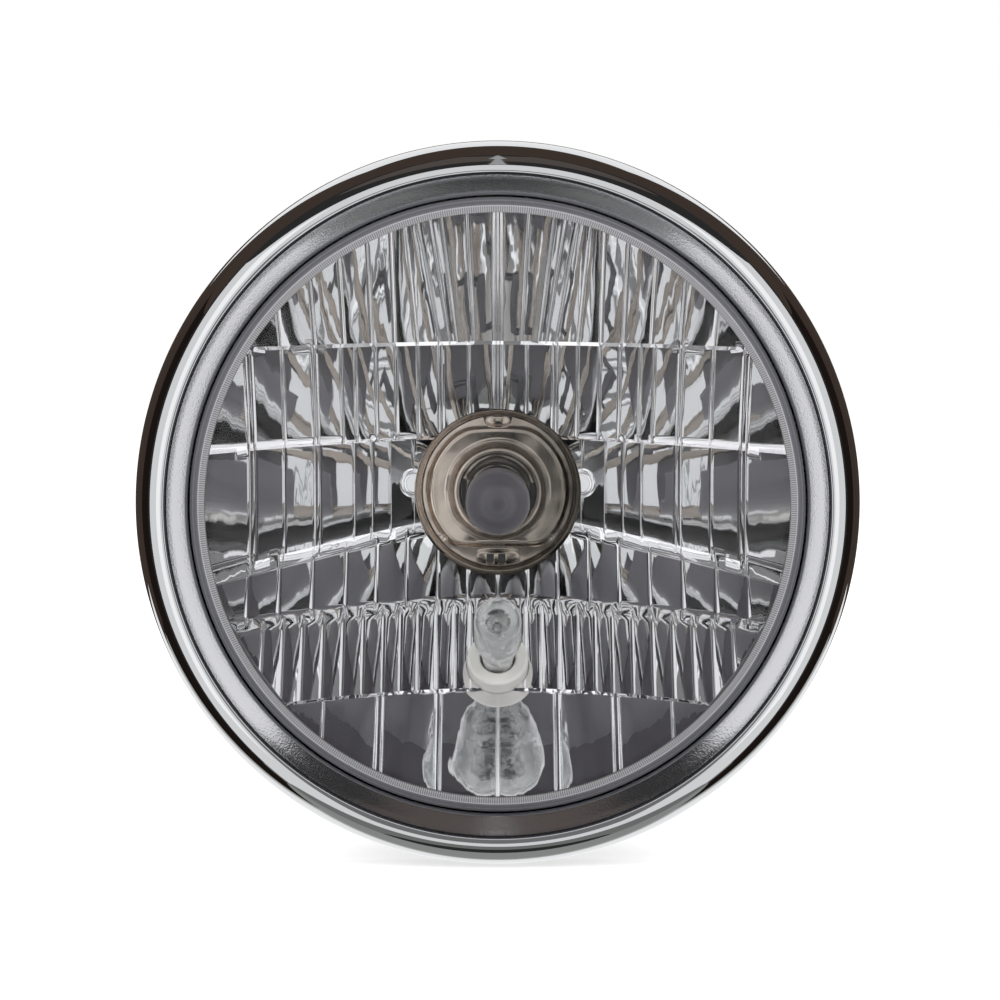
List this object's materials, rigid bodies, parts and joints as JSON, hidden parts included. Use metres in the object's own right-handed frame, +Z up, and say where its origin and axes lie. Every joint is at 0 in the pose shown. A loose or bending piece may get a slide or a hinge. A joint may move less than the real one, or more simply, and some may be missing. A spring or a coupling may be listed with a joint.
{
  "type": "motorcycle_headlight",
  "caption": "Round motorcycle headlight unit with chrome rim, clear domed lens, faceted reflector, halogen bulb with rubber boot and small position lamp",
  "frame": {"origin": "On the lamp's axis in the plane of the rim's rear edge; metres, +X to the lamp's right hand side as seen from the front, +Z up, the lens faces -Y.", "axes": "+X across the lamp, to the viewer's right when looking at the lens; +Y along the lamp's axis, backwards from the lens into the shell; +Z up, with the position lamp below the bulb"},
  "size_m": [0.19, 0.1062, 0.19],
  "materials": {
    "rim_chrome": "polished",
    "zinc_steel": "zinc plated",
    "black_rubber": "matt moulded",
    "clear_glass": "clear, finely serrated at its edge",
    "mirror_coat": "vacuum-coated mirror",
    "spring_steel": "satin spring steel",
    "seat_steel": "nickel plated",
    "bulb_nickel": "nickel plated",
    "bulb_glass_slot": "clear",
    "tungsten": "bare wire",
    "dark_plastic": "moulded",
    "blade_steel": "tinned",
    "white_plastic": "translucent white moulding"
  },
  "bodies": {
    "root": {"trim_rim": "rim_chrome", "rim_tab_left": "zinc_steel", "rim_tab_right": "zinc_steel", "rim_nut_left": "zinc_steel", "rim_nut_right": "zinc_steel", "rim_gasket": "black_rubber", "lens": "clear_glass", "lens_seal": "black_rubber", "reflector": "mirror_coat", "spring_clip_1": "spring_steel", "spring_clip_2": "spring_steel", "spring_clip_3": "spring_steel", "spring_clip_4": "spring_steel", "bulb_seat_ring": "seat_steel", "ring_screws": "zinc_steel", "bulb_flange": "bulb_nickel", "bulb_cup": "bulb_nickel", "bulb_glass": "bulb_glass_slot", "bulb_shield": "bulb_nickel", "filament_posts": "bulb_nickel", "dipped_filament": "tungsten", "main_filament": "tungsten", "bulb_insulator": "dark_plastic", "terminal_top": "blade_steel", "terminal_left": "blade_steel", "terminal_right": "blade_steel", "bulb_clip": "spring_steel", "clip_saddle": "zinc_steel", "saddle_screw": "zinc_steel", "bulb_boot": "black_rubber", "lamp_gasket": "black_rubber", "lamp_collar": "white_plastic", "lamp_socket": "white_plastic", "lamp_glass": "bulb_glass_slot", "lamp_posts": "bulb_nickel", "lamp_filament": "tungsten", "lamp_contact_left": "blade_steel", "lamp_contact_right": "blade_steel"}
  },
  "joints": []
}
